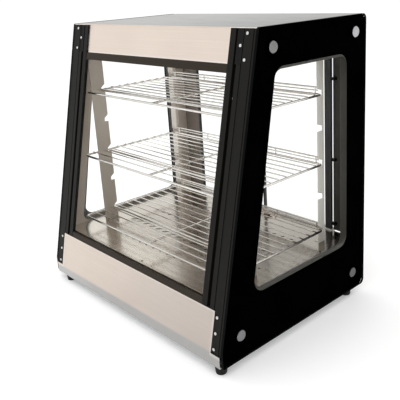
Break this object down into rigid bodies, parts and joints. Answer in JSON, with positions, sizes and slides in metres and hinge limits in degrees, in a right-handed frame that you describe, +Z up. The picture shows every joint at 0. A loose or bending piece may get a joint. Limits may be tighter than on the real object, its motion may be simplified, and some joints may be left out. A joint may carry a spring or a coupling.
{
  "type": "heated display case",
  "caption": "Countertop heated display cabinet with a slanted glass front, black-bordered glass sides, sliding rear glass doors, wire racks, vented floor and rear controls.",
  "frame": {"origin": "middle of the overall width and depth, at the underside of the feet", "axes": "+X to the right seen from the front, +Y from the slanted front glass to the rear doors, +Z up"},
  "size_m": [0.616, 0.449, 0.617],
  "materials": {
    "side_glass": "clear float glass",
    "door_glass": "clear float glass",
    "front_glass": "clear float glass",
    "black_print": "gloss, printed on the inside of the glass",
    "dark_frame": "satin",
    "post_dark": "satin anodised dark grey",
    "rail_dark": "satin anodised dark",
    "stainless": "brushed",
    "stainless_bright": "fine brushed",
    "floor_steel": "polished",
    "mirror_steel": "mirror",
    "chrome_wire": "bright chrome",
    "zinc": "zinc plated",
    "black_plastic": "satin",
    "black_gloss": "gloss",
    "rubber": "matte",
    "lamp_glass": "frosted",
    "pilot_amber": "translucent",
    "white_plastic": "satin",
    "heater_sheath": "heat tinted",
    "wire_sleeve": "matte",
    "galvanised": "galvanised",
    "copper_tube": "satin"
  },
  "bodies": {
    "case": {"side_glass_right": "side_glass", "side_glass_left": "side_glass", "side_border_right": "black_print", "side_border_left": "black_print", "side_frame_right": "dark_frame", "side_frame_left": "dark_frame", "side_liner_right": "stainless", "side_liner_left": "stainless", "glass_caps_right": "mirror_steel", "glass_caps_left": "mirror_steel", "front_post_right": "post_dark", "front_post_left": "post_dark", "post_head_plate_right": "black_plastic", "post_head_plate_left": "black_plastic", "post_screws": "zinc", "front_glass": "front_glass", "front_rail_bottom": "rail_dark", "front_rail_top": "rail_dark", "top_cover": "stainless_bright", "ceiling_panel": "stainless", "lower_front_panel": "stainless_bright", "base_tray": "galvanised", "feet": "rubber", "foot_screws": "zinc", "floor_plate": "floor_steel", "rack_upright_front_right": "stainless", "rack_upright_front_left": "stainless", "rack_upright_rear_right": "stainless", "rack_upright_rear_left": "stainless", "rear_post_right": "post_dark", "rear_post_left": "post_dark", "rear_track_bottom": "rail_dark", "rear_track_top": "rail_dark", "door_buffers": "rubber", "rear_base_panel": "stainless", "thermostat_body": "white_plastic", "switch_housings": "black_gloss", "pilot_lamp": "pilot_amber", "power_inlet": "black_plastic", "heating_element": "heater_sheath", "heater_brackets": "galvanised", "thermostat_bulb": "copper_tube", "bulb_clips": "stainless", "terminal_block": "white_plastic", "base_wiring": "wire_sleeve", "lamp_tube": "lamp_glass", "lamp_holders": "white_plastic"},
    "right_door": {"door_glass_right": "door_glass", "door_stile_right": "black_plastic", "door_edge_trim_right": "black_plastic"},
    "left_door": {"door_glass_left": "door_glass", "door_stile_left": "black_plastic", "door_edge_trim_left": "black_plastic"},
    "top_rack": {"wire_rack_top": "chrome_wire"},
    "middle_rack": {"wire_rack_middle": "chrome_wire"},
    "bottom_rack": {"wire_rack_bottom": "chrome_wire"},
    "knob": {"thermostat_knob": "black_plastic"},
    "heater_rocker": {"heater_switch": "black_gloss"},
    "light_rocker": {"light_switch": "black_gloss"}
  },
  "joints": [
    {"name": "right_door_slide", "type": "slide", "parent": "case", "child": "right_door", "axis": [-1, 0, 0], "range_m": [0, 0.2]},
    {"name": "left_door_slide", "type": "slide", "parent": "case", "child": "left_door", "axis": [1, 0, 0], "range_m": [0, 0.2]},
    {"name": "top_rack_shift", "type": "slide", "parent": "case", "child": "top_rack", "axis": [0, 1, 0], "range_m": [0, 0.003]},
    {"name": "middle_rack_shift", "type": "slide", "parent": "case", "child": "middle_rack", "axis": [0, 1, 0], "range_m": [0, 0.003]},
    {"name": "bottom_rack_shift", "type": "slide", "parent": "case", "child": "bottom_rack", "axis": [0, 1, 0], "range_m": [0, 0.003]},
    {"name": "thermostat_turn", "type": "hinge", "parent": "case", "child": "knob", "pos_m": [0.15, 0.2045, 0.072], "axis": [0, -1, 0], "range_deg": [0, 270]},
    {"name": "heater_switch_rock", "type": "hinge", "parent": "case", "child": "heater_rocker", "pos_m": [0.075, 0.203, 0.072], "axis": [1, 0, 0], "range_deg": [0, 16]},
    {"name": "light_switch_rock", "type": "hinge", "parent": "case", "child": "light_rocker", "pos_m": [0.03, 0.203, 0.072], "axis": [1, 0, 0], "range_deg": [0, 16]}
  ]
}
